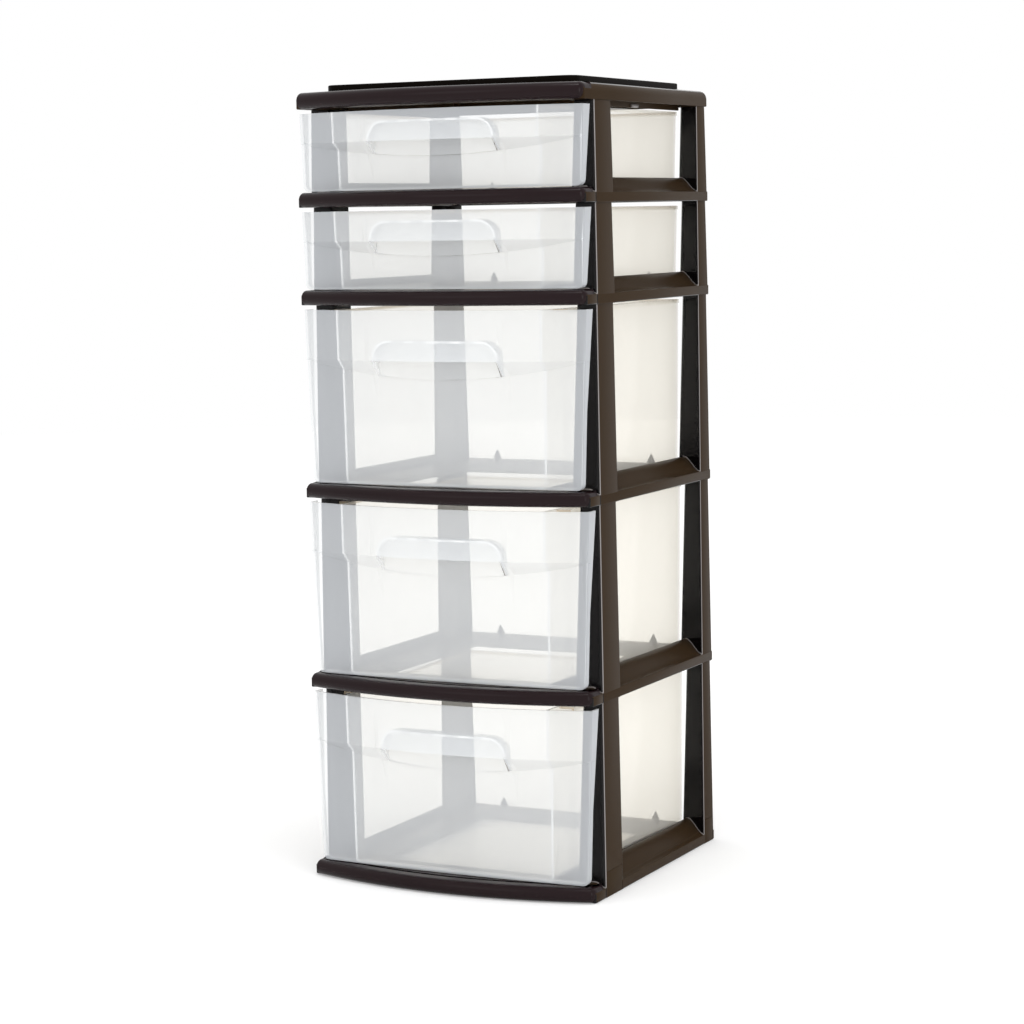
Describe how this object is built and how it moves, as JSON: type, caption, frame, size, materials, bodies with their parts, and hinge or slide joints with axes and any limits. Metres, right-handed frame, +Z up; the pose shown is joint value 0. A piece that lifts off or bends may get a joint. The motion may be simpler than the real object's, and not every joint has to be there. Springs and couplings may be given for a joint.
{
  "type": "plastic drawer tower",
  "caption": "Free-standing drawer tower: bowed dark plastic shelf frames on tapered posts, open sides, clear sliding drawers with arched finger pockets, and a shallow tray on top.",
  "frame": {"origin": "middle of the tower's footprint, at floor level", "axes": "+Z up, front towards -Y, +X to the right of someone facing the front"},
  "size_m": [0.32, 0.33, 0.8065],
  "materials": {
    "frame_plastic": "espresso brown-black moulded plastic, satin on the posts and glossier on the rolled lips",
    "clear_drawer": "clear, slightly milky moulded plastic with polished faces and bright edges",
    "foot_plastic": "espresso brown-black moulded plastic, a little duller than the frame"
  },
  "bodies": {
    "root": {"tier_frame_1": "frame_plastic", "tier_frame_2": "frame_plastic", "tier_frame_3": "frame_plastic", "tier_frame_4": "frame_plastic", "tier_frame_5": "frame_plastic", "top_panel": "frame_plastic", "foot_front_left": "foot_plastic", "foot_front_right": "foot_plastic", "foot_back_left": "foot_plastic", "foot_back_right": "foot_plastic"},
    "drawer_1_body": {"drawer_1": "clear_drawer"},
    "drawer_2_body": {"drawer_2": "clear_drawer"},
    "drawer_3_body": {"drawer_3": "clear_drawer"},
    "drawer_4_body": {"drawer_4": "clear_drawer"},
    "drawer_5_body": {"drawer_5": "clear_drawer"}
  },
  "joints": [
    {"name": "drawer_1_slide", "type": "slide", "parent": "root", "child": "drawer_1_body", "axis": [0, -1, 0], "range_m": [0, 0.22]},
    {"name": "drawer_2_slide", "type": "slide", "parent": "root", "child": "drawer_2_body", "axis": [0, -1, 0], "range_m": [0, 0.22]},
    {"name": "drawer_3_slide", "type": "slide", "parent": "root", "child": "drawer_3_body", "axis": [0, -1, 0], "range_m": [0, 0.22]},
    {"name": "drawer_4_slide", "type": "slide", "parent": "root", "child": "drawer_4_body", "axis": [0, -1, 0], "range_m": [0, 0.22]},
    {"name": "drawer_5_slide", "type": "slide", "parent": "root", "child": "drawer_5_body", "axis": [0, -1, 0], "range_m": [0, 0.22]}
  ]
}
